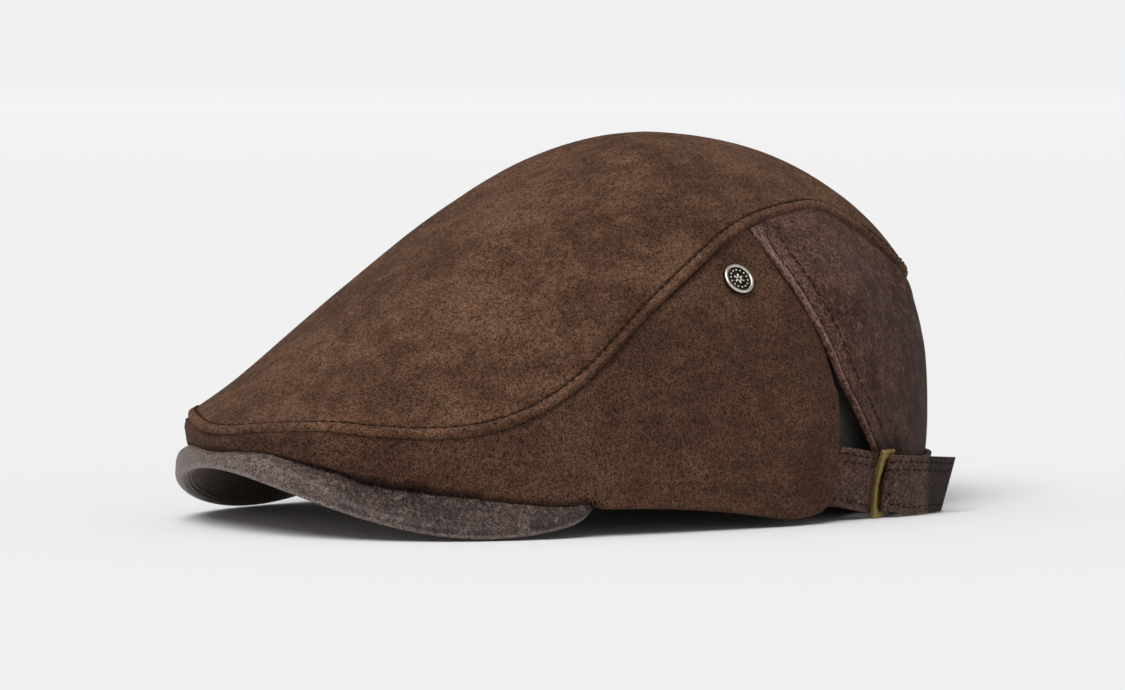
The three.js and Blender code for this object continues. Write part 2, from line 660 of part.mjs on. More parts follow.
const suede = (name) =>
  new THREE.MeshStandardMaterial({ name, color: 0x5a3f31, roughness: 0.95, metalness: 0 });
const leather = (name) =>
  new THREE.MeshStandardMaterial({ name, color: 0x4c3a36, roughness: 0.6, metalness: 0 });
const cloth = new THREE.MeshStandardMaterial({ name: "lining", color: 0x211f1c, roughness: 0.9 });
const brass = new THREE.MeshStandardMaterial({
  name: "brass", color: 0x8a7a4c, roughness: 0.35, metalness: 1,
});
const steel = new THREE.MeshStandardMaterial({
  name: "badge_metal", color: 0xb9b3a6, roughness: 0.3, metalness: 1,
});

const cap = new THREE.Group();
function add(name, geometry, material) {
  const mesh = new THREE.Mesh(geometry, material);
  mesh.name = name;
  cap.add(mesh);
}

const peakRoom = solidOf(peak(GAP));
add("top_panel", topPanel(), suede("suede"));
add("side_panel", geometryOf(solidOf(sidePanel()).subtract(peakRoom)), suede("suede_side"));
add("back_panel", backPanel(), leather("leather_back"));
add("peak", peak(), leather("leather_peak"));
add("lining", lining(), cloth);
add("strap", strap(), leather("leather_strap"));
add("strap_tab", strapTab(), leather("leather_tab"));
add("slider", slider(), brass);
add("badge", badge(), steel);

// The origin goes to the middle of the cap's footprint, on the ground
const bounds = new THREE.Box3().setFromObject(cap);
const middle = bounds.getCenter(new Vector3());
cap.position.set(-middle.x, -middle.y, -bounds.min.z);

export default cap;
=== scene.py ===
# Flat cap: suede crown, leather peak, back panel and strap, brass slider and a round badge.
# Metres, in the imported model's frame: +Z up, the peak points along -Y, the wearer's left is +X.
import math

import bpy
from mathutils import Matrix, Vector, noise
from mathutils.bvhtree import BVHTree
from mathutils.kdtree import KDTree


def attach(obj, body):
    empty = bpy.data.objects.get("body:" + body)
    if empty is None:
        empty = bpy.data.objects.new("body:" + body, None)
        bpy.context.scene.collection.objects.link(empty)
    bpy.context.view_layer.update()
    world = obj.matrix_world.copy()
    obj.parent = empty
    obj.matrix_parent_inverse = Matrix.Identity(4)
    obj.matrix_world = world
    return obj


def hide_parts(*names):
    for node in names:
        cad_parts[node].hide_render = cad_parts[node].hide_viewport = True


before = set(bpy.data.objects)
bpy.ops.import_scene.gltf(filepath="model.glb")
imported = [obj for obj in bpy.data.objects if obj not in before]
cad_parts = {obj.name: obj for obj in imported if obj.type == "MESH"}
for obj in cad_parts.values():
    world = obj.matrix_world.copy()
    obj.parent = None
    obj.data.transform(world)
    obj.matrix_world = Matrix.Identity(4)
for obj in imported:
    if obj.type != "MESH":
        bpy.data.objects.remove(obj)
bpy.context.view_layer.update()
MM = 0.001


# Camera and light

AIM = Vector((0.0049, -0.0044, 0.0555))
CAMERA_SIDE = Vector((0.8463, -0.5295, 0.0567))  # from the cap to the camera
CAMERA_DISTANCE = 2.0
LENS = 196.2  # millimetres, on a sensor of 36


def place_camera():
    """The camera that took the photo, as fitted to it."""
    camera = bpy.data.objects.new("camera", bpy.data.cameras.new("camera"))
    bpy.context.collection.objects.link(camera)
    camera.location = AIM + CAMERA_SIDE * CAMERA_DISTANCE
    camera.rotation_euler = CAMERA_SIDE.to_track_quat("Z", "Y").to_euler()
    camera.data.lens = LENS
    camera.data.sensor_width = 36
    camera.data.clip_end = 50
    bpy.context.scene.camera = camera


def sun(name, side, power, spread):
    """Soft light from a direction, from a patch of sky that is spread degrees wide."""
    light = bpy.data.lights.new(name, "SUN")
    light.energy = power
    light.angle = math.radians(spread)
    lamp = bpy.data.objects.new(name, light)
    bpy.context.collection.objects.link(lamp)
    lamp.rotation_euler = Vector(side).to_track_quat("Z", "Y").to_euler()


def sky(strength):
    """Even white light from all round."""
    world = bpy.data.worlds.new("studio")
    bpy.context.scene.world = world
    world.use_nodes = True
    world.node_tree.nodes["Background"].inputs["Color"].default_value = (1, 1, 1, 1)
    world.node_tree.nodes["Background"].inputs["Strength"].default_value = strength


place_camera()
sun("key light", (0.55, -0.8, 1.2), power=2.15, spread=40)
sun("top light", (-0.1, -0.4, 1.0), power=0.55, spread=60)
sky(0.3)
bpy.context.scene.view_settings.view_transform = "Standard"


# Finishes. A Wire is a shader value; arithmetic on it adds the Math nodes.

class Wire:
    def __init__(self, socket):
        self.socket = socket

    def _math(self, operation, first, second):
        node = self.socket.id_data.nodes.new("ShaderNodeMath")
        node.operation = operation
        connect(node.inputs[0], first)
        connect(node.inputs[1], second)
        return Wire(node.outputs[0])

    def __add__(self, other):
        return self._math("ADD", self, other)

    __radd__ = __add__

    def __sub__(self, other):
        return self._math("SUBTRACT", self, other)

    def __rsub__(self, other):
        return self._math("SUBTRACT", other, self)

    def __mul__(self, other):
        return self._math("MULTIPLY", self, other)

    __rmul__ = __mul__


def connect(entry, value):
    if isinstance(value, Wire):
        entry.id_data.links.new(value.socket, entry)
    else:
        entry.default_value = value


def srgb(red, green, blue):
    """Colour as a shader wants it, from the 0 to 255 of a picture."""
    def linear(part):
        part /= 255
        return part / 12.92 if part <= 0.04045 else ((part + 0.055) / 1.055) ** 2.4
    return (linear(red), linear(green), linear(blue), 1)


class Finish:
    """One material. Constant settings go on the shader, patterns are wired in."""

    def __init__(self, name, **constants):
        self.material = bpy.data.materials.new(name)
        self.material.use_nodes = True
        self.tree = self.material.node_tree
        self.shader = self.tree.nodes["Principled BSDF"]
        for entry, value in constants.items():
            self.shader.inputs[entry.replace("_", " ")].default_value = value
        self.place = self.node("ShaderNodeTexCoord", output="Object")

    def node(self, kind, output=0, settings=None, **entries):
        made = self.tree.nodes.new(kind)
        for key, value in (settings or {}).items():
            setattr(made, key, value)
        for entry, value in entries.items():
            connect(made.inputs[entry.replace("_", " ")], value)
        return Wire(made.outputs[output])

    def noise(self, size, detail=2, roughness=0.5, stretch=None):
        """Noise from 0 to 1 whose lumps are about size millimetres wide."""
        place = self.stretched(stretch) if stretch else self.place
        return self.node("ShaderNodeTexNoise", Vector=place, Scale=1 / (size * MM),
                         Detail=detail, Roughness=roughness)

    def cells(self, size):
        """Distance from the middles of rounded cells about size millimetres wide."""
        return self.node("ShaderNodeTexVoronoi", output="Distance",
                         settings={"feature": "SMOOTH_F1"}, Vector=self.place, Scale=1 / (size * MM))

    def stretched(self, scale):
        made = self.tree.nodes.new("ShaderNodeMapping")
        made.inputs["Scale"].default_value = scale
        connect(made.inputs["Vector"], self.place)
        return Wire(made.outputs[0])

    def band(self, value, low, high, start=0, end=1):
        """Value eased from start to end between low and high."""
        return self.node("ShaderNodeMapRange", settings={"interpolation_type": "SMOOTHSTEP"},
                         Value=value, From_Min=low, From_Max=high, To_Min=start, To_Max=end)

    def blend(self, factor, first, second, kind="MIX"):
        made = self.tree.nodes.new("ShaderNodeMix")
        made.data_type = "RGBA"
        made.blend_type = kind
        connect(made.inputs[0], factor)
        connect(made.inputs[6], first)
        connect(made.inputs[7], second)
        return Wire(made.outputs[2])

    def colour(self, value):
        connect(self.shader.inputs["Base Color"], value)

    def rough(self, value):
        connect(self.shader.inputs["Roughness"], value)

    def relief(self, height, depth):
        """Bump of the given depth in millimetres."""
        bump = self.node("ShaderNodeBump", Height=height, Distance=depth * MM)
        connect(self.shader.inputs["Normal"], bump)


def grey(level):
    return (level, level, level, 1)


def scaled(colour, by):
    """A colour made lighter or darker."""
    return tuple(part * by for part in colour[:3]) + (1,)


def flecked(skin, base, fleck, grain):
    """The base with a grain that takes away or adds up to that share of it."""
    return skin.blend(1.0, base, skin.blend(fleck, grey(1 - grain), grey(1 + grain)), "MULTIPLY")


def painted_light_and_shade(skin, base, light, dark):
    """Painted light where the piece's tone is above 0, and painted shade where it is below 0."""
    tone = skin.node("ShaderNodeAttribute", output=2, settings={"attribute_name": "tone"})
    base = skin.blend(skin.band(tone, 0, 1), base, light)
    return skin.blend(skin.band(tone, 0, -1), base, dark)


def suede(name, dark, light, grain=0.8):
    """Brushed suede: drifting patches, strokes where the nap was brushed, and a fine dark grain."""
    skin = Finish(name, Sheen_Weight=0.08, Sheen_Roughness=0.5, Sheen_Tint=srgb(176, 148, 128),
                  Specular_IOR_Level=0.1)
    patches = skin.noise(30, detail=3, roughness=0.6)
    strokes = skin.noise(6, detail=4, roughness=0.7, stretch=(1, 0.55, 1.3))
    nap = skin.noise(0.6, detail=2, roughness=0.7)
    pile = skin.noise(1.5, detail=3, roughness=0.75)
    base = skin.blend(skin.band(patches * 0.55 + strokes * 0.45, 0.38, 0.62), dark, light)
    # painted light and shade from the piece's tone
    base = painted_light_and_shade(skin, base, scaled(light, 1.35), scaled(dark, 0.4))
    fleck = skin.band(nap * 0.65 + pile * 0.35, 0.34, 0.66)
    skin.colour(flecked(skin, base, fleck, grain))
    skin.rough(skin.band(patches, 0.3, 0.7, 0.88, 0.98))
    skin.relief(nap + pile * 0.8 + strokes * 0.7, 0.4)
    return skin.material


def leather(name, dark, middle, light, gloss=0.56, grain=0.5, shine=0.12):
    """Soft dressed leather: pebbled grain, pale dusting on its crowns, and painted light and shade from
    its tone.
    """
    skin = Finish(name, Specular_IOR_Level=shine)
    patches = skin.noise(20, detail=3, roughness=0.6)
    drift = skin.noise(6, detail=3, roughness=0.65)
    pebbles = skin.cells(1.15)
    fine = skin.noise(0.65, detail=2, roughness=0.7)
    dust = skin.noise(1.6, detail=4, roughness=0.8)
    base = skin.blend(skin.band(patches * 0.55 + drift * 0.45, 0.38, 0.62), dark, middle)
    base = skin.blend(skin.band(dust * 0.7 + drift * 0.3, 0.5, 0.66) * 0.45, base, light)
    # painted light and shade from the piece's tone
    base = painted_light_and_shade(skin, base, light, scaled(dark, 0.4))
    fleck = skin.band(fine * 0.6 + dust * 0.4, 0.36, 0.64)
    skin.colour(flecked(skin, base, fleck, grain))
    skin.rough(skin.band(fine + dust, 0.8, 1.25, gloss - 0.06, gloss + 0.14))
    skin.relief(fine * 0.6 + dust * 0.6 - pebbles * 0.6 + drift * 0.5, 0.32)
    return skin.material


def thread(name, colour):
    """Twisted sewing thread."""
    yarn = Finish(name, Specular_IOR_Level=0.1, Roughness=0.85)
    ply = yarn.noise(0.25, detail=2)
    yarn.colour(yarn.blend(ply, colour, scaled(colour, 1.8)))
    yarn.relief(ply, 0.1)
    return yarn.material


def cloth(name, dark, light):
    """Plain dark lining with a fine twill line."""
    weave = Finish(name, Sheen_Weight=0.1, Specular_IOR_Level=0.3)
    line = weave.node("ShaderNodeTexWave", settings={"bands_direction": "DIAGONAL"},
                      Vector=weave.place, Scale=1 / (6.5 * MM), Distortion=0.6, Detail=1.0)
    slub = weave.noise(5, detail=3)
    weave.colour(weave.blend(line * 0.35 + slub * 0.5, dark, light))
    weave.rough(weave.band(slub, 0.3, 0.7, 0.7, 0.85))
    weave.relief(line * 0.5 + slub * 0.4, 0.12)
    return weave.material


def metal(name, colour, tarnish, rough, wear=0.5):
    """Cast and polished metal, duller and darker in the patches that hands don't rub."""
    face = Finish(name, Metallic=1.0)
    patches = face.noise(3.5, detail=3, roughness=0.6)
    scratches = face.noise(0.5, detail=2, stretch=(0.25, 1, 1))
    face.colour(face.blend(face.band(patches, 0.4, 0.7) * wear, colour, tarnish))
    face.rough(rough + patches * 0.16 + scratches * 0.08)
    face.relief(scratches + patches, 0.04)
    return face.material


TOP_SUEDE = suede("top suede", srgb(70, 47, 35), srgb(97, 70, 54))
SIDE_SUEDE = suede("side suede", srgb(64, 43, 33), srgb(82, 58, 44))
BACK_LEATHER = leather("back panel leather", srgb(56, 36, 30), srgb(82, 58, 50), srgb(112, 88, 78),
                       gloss=0.7, grain=0.8, shine=0.08)
PEAK_LEATHER = leather("peak leather", srgb(46, 33, 29), srgb(66, 51, 46), srgb(112, 97, 91),
                       gloss=0.42, grain=0.9, shine=0.34)
STRAP_LEATHER = leather("strap leather", srgb(58, 41, 35), srgb(80, 59, 51), srgb(108, 86, 76),
                        grain=0.85)
TAB_LEATHER = leather("tab leather", srgb(60, 42, 36), srgb(82, 60, 52), srgb(110, 87, 77), grain=0.85)
THREAD = thread("seam thread", srgb(27, 18, 14))
BINDING = thread("binding thread", srgb(112, 100, 94))
LINING_CLOTH = cloth("lining cloth", srgb(66, 62, 57), srgb(78, 74, 68))
BRASS = metal("olive brass", srgb(150, 130, 78), srgb(92, 76, 42), 0.32)
SILVER = metal("badge silver", srgb(226, 221, 210), srgb(150, 142, 128), 0.22, wear=0.35)
RECESS = metal("badge recess", srgb(66, 58, 48), srgb(30, 26, 22), 0.45, wear=0.8)


# Modelling helpers

HEAD_MIDDLE = Vector((0, 0, 0.02))  # the panels' outer faces look away from it
THICKEST_WALL = 4 * MM
SLIVER = 0.7 * MM  # edges shorter than this are closed up


def only(piece):
    """Selects one object and nothing else."""
    bpy.ops.object.select_all(action="DESELECT")
    piece.select_set(True)
    bpy.context.view_layer.objects.active = piece


def joined(parts, name):
    """Several objects made into one."""
    bpy.ops.object.select_all(action="DESELECT")
    for part in parts:
        part.select_set(True)
    bpy.context.view_layer.objects.active = parts[0]
    bpy.ops.object.join()
    piece = bpy.context.object
    piece.name = name
    return piece


def edit(piece, select=True):
    """Opens a piece for editing with all of it selected, or nothing."""
    only(piece)
    bpy.ops.object.mode_set(mode="EDIT")
    bpy.ops.mesh.select_all(action="SELECT" if select else "DESELECT")


def done():
    bpy.ops.mesh.select_mode(type="VERT")
    bpy.ops.object.mode_set(mode="OBJECT")


def edit_faces(piece, wanted):
    """Opens a piece for editing with only its wanted faces selected."""
    edit(piece, select=False)
    done()
    for face in piece.data.polygons:
        face.select = wanted(face)
    bpy.ops.object.mode_set(mode="EDIT")
    bpy.ops.mesh.select_mode(type="FACE")


def apply(piece, kind, **settings):
    """Adds one modifier and applies it."""
    only(piece)
    modifier = piece.modifiers.new(kind.title(), kind)
    for key, value in settings.items():
        setattr(modifier, key, value)
    bpy.ops.object.modifier_apply(modifier=modifier.name)


def smooth(piece, angle):
    """Shades a piece smooth, apart from edges sharper than an angle in degrees."""
    only(piece)
    bpy.ops.object.shade_smooth_by_angle(angle=math.radians(angle))


def copy_of(node, name):
    """The CAD node's solid as a new piece, with its triangles joined into quads."""
    piece = bpy.data.objects.new(name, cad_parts[node].data.copy())
    bpy.context.collection.objects.link(piece)
    piece.data.materials.clear()
    edit(piece)
    bpy.ops.mesh.remove_doubles(threshold=0.01 * MM)
    bpy.ops.mesh.tris_convert_to_quads(
        face_threshold=math.radians(50), shape_threshold=math.radians(50))
    done()
    return piece


def outer_sheet(node, name, lowest=-1):
    """Only the outer face of a panel: what faces away from the head and has a thin wall behind it.

    lowest: how far a face may look down, which leaves out the step that the peak lies in.
    """
    piece = copy_of(node, name)
    solid = surface_of(piece)

    def unwanted(face):
        away = (face.center - HEAD_MIDDLE).dot(face.normal) > 0
        below = face.center - face.normal * 0.05 * MM
        behind = solid.ray_cast(below, -face.normal, THICKEST_WALL)[0]
        return not (away and behind and face.normal.z > lowest)

    edit_faces(piece, unwanted)
    bpy.ops.mesh.delete(type="FACE")
    done()
    edit(piece)
    bpy.ops.mesh.remove_doubles(threshold=SLIVER)
    done()
    return piece


def seam_rows(piece, widths, fits=None):
    """Rows of faces that run along the edge of a sheet, for its turned edge.

    fits: says of a face whether it takes part, where only some of the edge is turned.
    """
    if fits:
        edit_faces(piece, fits)
    else:
        edit(piece)
    for width in widths:
        bpy.ops.mesh.inset(thickness=width * MM, depth=0, use_boundary=True)
    done()


def rim_of(piece):
    """The edge of a sheet, in order: (place, normal, way into the sheet) at each point."""
    mesh = piece.data
    owner = {}
    for face in mesh.polygons:
        for key in face.edge_keys:
            owner.setdefault(key, []).append(face)
    after = {}
    inward = {}
    for (a, b), faces in owner.items():
        if len(faces) > 1:
            continue
        along = (mesh.vertices[b].co - mesh.vertices[a].co).normalized()
        way = faces[0].center - mesh.vertices[a].co
        way = (way - along * way.dot(along)).normalized()
        for here, there in ((a, b), (b, a)):
            after.setdefault(here, []).append(there)
            inward[here] = inward.get(here, Vector()) + way
    loops = []
    left = set(after)
    while left:
        here = min(left)
        left.discard(here)
        loop = [here]
        while True:
            onward = [v for v in after[here] if v in left]
            if not onward:
                break
            here = onward[0]
            left.discard(here)
            loop.append(here)
        loops.append(loop)
    return [(mesh.vertices[v].co.copy(), mesh.vertices[v].normal.copy(), inward[v].normalized())
            for v in max(loops, key=len)]


def stretch(rim, start, end, by):
    """The part of a rim from the point nearest start to the one nearest end, by way of a place."""
    def nearest(place):
        return min(range(len(rim)), key=lambda i: (rim[i][0] - Vector(place) * MM).length)
    first, last, middle = nearest(start), nearest(end), nearest(by)
    count = len(rim)
    onward = [(first + k) % count for k in range((last - first) % count + 1)]
    if middle not in onward:
        onward = [(first - k) % count for k in range((first - last) % count + 1)]
    return [rim[i] for i in onward]


def other_side(place):
    """The mirrored place on the cap's other half."""
    return (-place[0], place[1], place[2])


def across(rim, corner, by):
    """The part of a rim from a corner on the left to the same corner on the right."""
    return stretch(rim, corner, other_side(corner), by)


def on_both_sides(rim, start, end, by):
    """The same part of a rim on the left and on the right."""
    return [stretch(rim, start, end, by),
            stretch(rim, other_side(start), other_side(end), other_side(by))]


def tree_of(places):
    """Places in a form that finds the nearest one quickly."""
    tree = KDTree(len(places))
    for i, place in enumerate(places):
        tree.insert(place, i)
    tree.balance()
    return tree


def distances(piece, line, closed=False, step=0.25):
    """Each vertex's distance from a line, and step the spacing on it, in millimetres."""
    places = [entry[0] for entry in line]
    if closed:
        places.append(places[0])
    points = []
    for a, b in zip(places, places[1:]):
        count = max(int((b - a).length / (step * MM)), 1)
        points += [a.lerp(b, k / count) for k in range(count)]
    points.append(places[-1])
    tree = tree_of(points)
    return [tree.find(vertex.co)[2] / MM for vertex in piece.data.vertices]


def read(profile, at):
    """Eased height of a profile, a list of (distance, height), at a distance."""
    if at <= profile[0][0]:
        return profile[0][1]
    for (d0, h0), (d1, h1) in zip(profile, profile[1:]):
        if at <= d1:
            share = (at - d0) / (d1 - d0)
            return h0 + (h1 - h0) * share * share * (3 - 2 * share)
    return profile[-1][1]


def raise_by(piece, heights):
    """Moves each vertex along its normal, by millimetres."""
    normals = [vertex.normal.copy() for vertex in piece.data.vertices]
    for vertex, normal, height in zip(piece.data.vertices, normals, heights):
        vertex.co += normal * height * MM
    piece.data.update()


def swell(piece, away, profile, waver=0.0):
    """Raises a sheet by a profile over the distance from an edge."""
    raise_by(piece, [read(profile, far) * (1 + waver * noise.noise(vertex.co * 160))
                     for vertex, far in zip(piece.data.vertices, away)])


def drape(piece, size, height, seed):
    """Broad soft unevenness of a sewn skin."""
    raise_by(piece, [height * noise.noise(vertex.co / (size * MM) + Vector(seed))
                     for vertex in piece.data.vertices])


def tone(piece, levels):
    """Painted light, above 0, and painted shade, below 0, for the finish to show."""
    layer = piece.data.attributes.get("tone") or piece.data.attributes.new("tone", "FLOAT", "POINT")
    for entry, level in zip(layer.data, levels):
        entry.value += level


def surface_of(piece):
    mesh = piece.data
    return BVHTree.FromPolygons([v.co for v in mesh.vertices],
                                [tuple(face.vertices) for face in mesh.polygons])


def finish(piece, node, material):
    """Dresses a piece and lets it stand for its CAD node."""
    piece.data.materials.clear()
    piece.data.materials.append(material)
    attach(piece, "root")
    if node:
        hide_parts(node)


# Stitches: one is modelled, and each seam is copies of it along a line on the skin

def one_stitch():
    bpy.ops.mesh.primitive_uv_sphere_add(segments=8, ring_count=6, radius=1)
    stitch = bpy.context.object
    stitch.name = "one_stitch"
    only(stitch)
    bpy.ops.object.shade_smooth()
    return stitch


STITCH = one_stitch()


def seam(name, line, closed=False, pitch=3.2, length=2.5, thick=0.32, proud=0.05):
    """Stitches along a line of (place, normal), as one piece. Sizes in millimetres."""
    places = [entry[0] for entry in line]
    normals = [entry[1] for entry in line]
    if closed:
        places.append(places[0])
        normals.append(normals[0])
    run = [0.0]
    for a, b in zip(places, places[1:]):
        run.append(run[-1] + (b - a).length)
    count = max(int(run[-1] / (pitch * MM)), 1)
    spacing = run[-1] / count
    copies = []
    i = 0
    for k in range(count):
        middle = (k + 0.5) * spacing
        while i < len(run) - 2 and run[i + 1] < middle:
            i += 1
        share = (middle - run[i]) / max(run[i + 1] - run[i], 1e-9)
        place = places[i].lerp(places[i + 1], share)
        up = normals[i].lerp(normals[i + 1], share).normalized()
        ahead = (places[i + 1] - places[i]).normalized()
        ahead = (ahead - up * ahead.dot(up)).normalized()
        side = up.cross(ahead)
        turn = Matrix((ahead, side, up)).transposed().to_4x4()
        size = Matrix.Diagonal((length * MM / 2, thick * MM, thick * MM, 1))
        copy = STITCH.copy()
        copy.data = STITCH.data.copy()
        copy.data.transform(Matrix.Translation(place + up * proud * MM) @ turn @ size)
        bpy.context.collection.objects.link(copy)
        copies.append(copy)
    finish(joined(copies, name), None, THREAD)


def beside(line, skin, inset):
    """The line on the skin that runs inset millimetres in from a rim."""
    return [skin.find_nearest(place + way * inset * MM)[:2] for place, _, way in line]


def settle(piece, material, node, thickness):
    """Gives a panel's sheet its thickness, inwards, and its finish."""
    apply(piece, "SOLIDIFY", thickness=thickness * MM, offset=-1)
    smooth(piece, 70)
    finish(piece, node, material)


# Panels. Each is the skin of its solid with a shaped edge. Distances and heights in millimetres.

SUNK = 1.1  # how deep what lies beneath the top panel is sunk, beside its edge
SUNK_MORE = 0.5  # added to that over the first 2 mm


def tuck_under(piece, roof, away):
    """Shapes a sheet beside the top panel's roll, and sinks what lies beneath that panel."""
    heights = []
    for vertex, far in zip(piece.data.vertices, away):
        above = roof.ray_cast(vertex.co - vertex.normal * 2 * MM, vertex.normal, 6 * MM)[0]
        heights.append(-SUNK - SUNK_MORE * min(far / 2, 1) if above else read(UNDER_ROLL, far))
    raise_by(piece, heights)


BEHIND_FOLD = [(-80, 0), (-45, 1)]  # share by how far back a place lies


def reach_under(piece, line, by=3, width=6):
    """Draws a sheet's edge outwards along its own surface, beneath the panel that laps over it.

    At the cap's front the panels meet at a fold instead, so nothing is drawn out there.
    """
    tree = tree_of([entry[0] for entry in line])
    for vertex in piece.data.vertices:
        _, i, far = tree.find(vertex.co)
        share = max(1 - far / (width * MM), 0) * read(BEHIND_FOLD, vertex.co.y / MM)
        vertex.co -= line[i][2] * by * MM * share
    piece.data.update()


# Where and how far the front is lifted by the peak's padding
FRONT_BUMP = [(0, 0.3), (26, 1), (42, 0.75), (55, 0.05), (66, 0)]  # by distance from the middle
FRONT_ZONE = [(-100, 1), (-80, 0)]
TOP_LIFT = 1.1
STRIP_LIFT = 2.6  # more than the top's, at the side panel's hem
PEAK_LIFT = 3.7
STRIP_PADDING = 0.6  # how far the front strip bulges
PADDED = [(-115, 1), (-85, 0)]
STRIP_PAINTED_SHADE = [(-125, 0.35), (-90, 0)]  # painted shade on the front strip, taken off the tone


def front_lift(piece, heights):
    """Raises the front corners, where the peak's padding lifts the cap, by a height per vertex."""
    for vertex, height in zip(piece.data.vertices, heights):
        side = read(FRONT_BUMP, abs(vertex.co.x) / MM)
        vertex.co.z += height * MM * side * read(FRONT_ZONE, vertex.co.y / MM)
    piece.data.update()


def even_edge(piece, line, repeat=60, width=8):
    """Draws part of a sheet's edge into an even curve, and the skin beside it along."""
    places = [entry[0] for entry in line]
    for _ in range(repeat):
        inner = [(a + b * 2 + c) / 4 for a, b, c in zip(places, places[1:], places[2:])]
        places = [places[0]] + inner + [places[-1]]
    tree = tree_of([entry[0] for entry in line])
    for vertex in piece.data.vertices:
        _, i, far = tree.find(vertex.co)
        vertex.co += (places[i] - line[i][0]) * max(1 - far / (width * MM), 0)
    piece.data.update()


def subdivide(piece):
    """Smooths a sheet and keeps the corners of its edge."""
    apply(piece, "SUBSURF", levels=2, render_levels=2, boundary_smooth="PRESERVE_CORNERS")


def relax(piece, away, width, repeat):
    """Evens out the faces within a width of a line."""
    edit(piece, select=False)
    done()
    for vertex, far in zip(piece.data.vertices, away):
        vertex.select = far < width
    only(piece)
    bpy.ops.object.mode_set(mode="EDIT")
    bpy.ops.mesh.vertices_smooth(factor=0.5, repeat=repeat)
    done()


# Widths of the rows of faces along the turned edges, and how far in the stitches lie
TOP_ROWS = [0.5, 0.6, 0.9, 1, 1, 1.2]
TOP_STITCH = 3.9
BACK_ROWS = [0.9, 0.9, 0.9, 0.9, 1.1]
BACK_ROWS_REACH = 9  # the rows are made in faces this near to the front edges
BACK_STITCHES = (("stitch", 3.2, 1), ("second_stitch", 9.2, 0.66))  # inset, share of the front edge

# Profiles across a seam, as (distance from the edge, height) or (distance, tone); the tones are painted
# light on the rolls and painted shade in the grooves and beside the edges
TOP_ROLL = [(0, -1.2), (0.4, -0.5), (0.9, 0.25), (1.6, 0.75), (2.4, 0.8), (3.3, 0.4), (3.9, -0.25),
            (4.7, 0.1), (8, 0)]
TOP_ROLL_TONE = [(0, -0.6), (0.6, -0.1), (1.5, 0.25), (2.6, 0.2), (3.4, -0.1), (3.9, -0.7), (4.6, 0)]
UNDER_ROLL = [(0, -1.1), (0.6, -0.7), (2.0, 0), (4.5, 0.25), (8, 0)]
LAPPED = [(0, -1), (2.5, -0.9), (4.5, 0)]
UNDER_ROLL_TONE = [(0, -1), (0.7, -0.6), (2.5, 0)]
HEM = [(0, -0.7), (0.4, -0.2), (1.2, 0.15), (2.4, 0.1), (5, 0)]
OVER_PEAK = [(0, 2), (1, 1.8), (5, 0)]  # how far the side panel's hem comes down over the peak
OVER_PEAK_TONE = [(0, -1), (1.5, -0.8), (4.5, 0)]
LEATHER_ROLL = [(0, -0.8), (0.4, 0.1), (1.1, 0.75), (1.9, 0.75), (2.7, 0.3), (3.2, -0.1), (3.9, 0.12),
                (8.3, 0.1), (9.2, -0.1), (10, 0.02), (12, 0)]
LEATHER_ROLL_TONE = [(0, -0.4), (0.5, 0.2), (1.2, 0.8), (2.0, 0.7), (2.7, 0.2), (3.2, -0.5), (3.9, 0.1),
                     (6, 0.1), (9.2, -0.2), (11, 0)]

# Painted light and shade on the back panel: lighter higher up and darker low down, by height, and
# painted shade towards the rear, by how far back a place lies
PAINTED_LIGHT_BY_HEIGHT = [(20, -0.35), (60, 0), (85, 0.3)]
SHADED_REAR = [(95, 0), (125, 0.3)]


def top_panel():
    """Returns the panel's rim and skin, which the panels below it dip under."""
    piece = outer_sheet("top_panel", "top_panel_suede")
    seam_rows(piece, TOP_ROWS)
    subdivide(piece)
    relax(piece, distances(piece, rim_of(piece), closed=True), width=7, repeat=6)
    drape(piece, size=38, height=0.6, seed=(3, 7, 1))
    away = distances(piece, rim_of(piece), closed=True)
    front_lift(piece, [read([(0, TOP_LIFT), (20, 0)], far) for far in away])
    rim = rim_of(piece)
    swell(piece, away, TOP_ROLL, waver=0.12)
    # painted highlight on the roll, painted shade at the edge and in the stitch groove
    tone(piece, [read(TOP_ROLL_TONE, far) for far in away])
    skin = surface_of(piece)
    seam("top_panel_topstitch", beside(rim, skin, TOP_STITCH), closed=True, proud=0.1)
    settle(piece, TOP_SUEDE, "top_panel", thickness=1.1)
    return rim, skin


# Corners of the panels on the wearer's left, and places on their rims between the corners
PEAK_END = (81, -45, 12.6)
PEAK_MIDDLE = (0, -133, 20)
FRONT_MIDDLE = (0, -133, 50)
HEM_MIDDLE = (85, -10, 0)
CROWN_REAR = (0, 120, 110)
SIDE_TOP_CORNER = (54.7, 34.7, 93.3)
SIDE_REAR_FOOT = (80, 46, 20)
LAPPED_DOWN_TO = 46 * MM  # height above which the back panel lies on the side panel
BACK_TOP_CORNER = (54.5, 35.2, 93.4)
BACK_LOW_CORNER = (58.7, 85.5, 1.5)
BACK_FRONT_MIDDLE = (76, 50, 50)
BEHIND_STRAP = 12 * MM  # what lies lower on the back panel is covered by the strap


def rears(rim):
    """The side panel's two rear edges, as far down as the back panel's front edges lie on them."""
    middle = [(a + b) / 2 for a, b in zip(SIDE_TOP_CORNER, SIDE_REAR_FOOT)]
    return [[entry for entry in edge if entry[0].z > LAPPED_DOWN_TO]
            for edge in on_both_sides(rim, SIDE_TOP_CORNER, SIDE_REAR_FOOT, middle)]


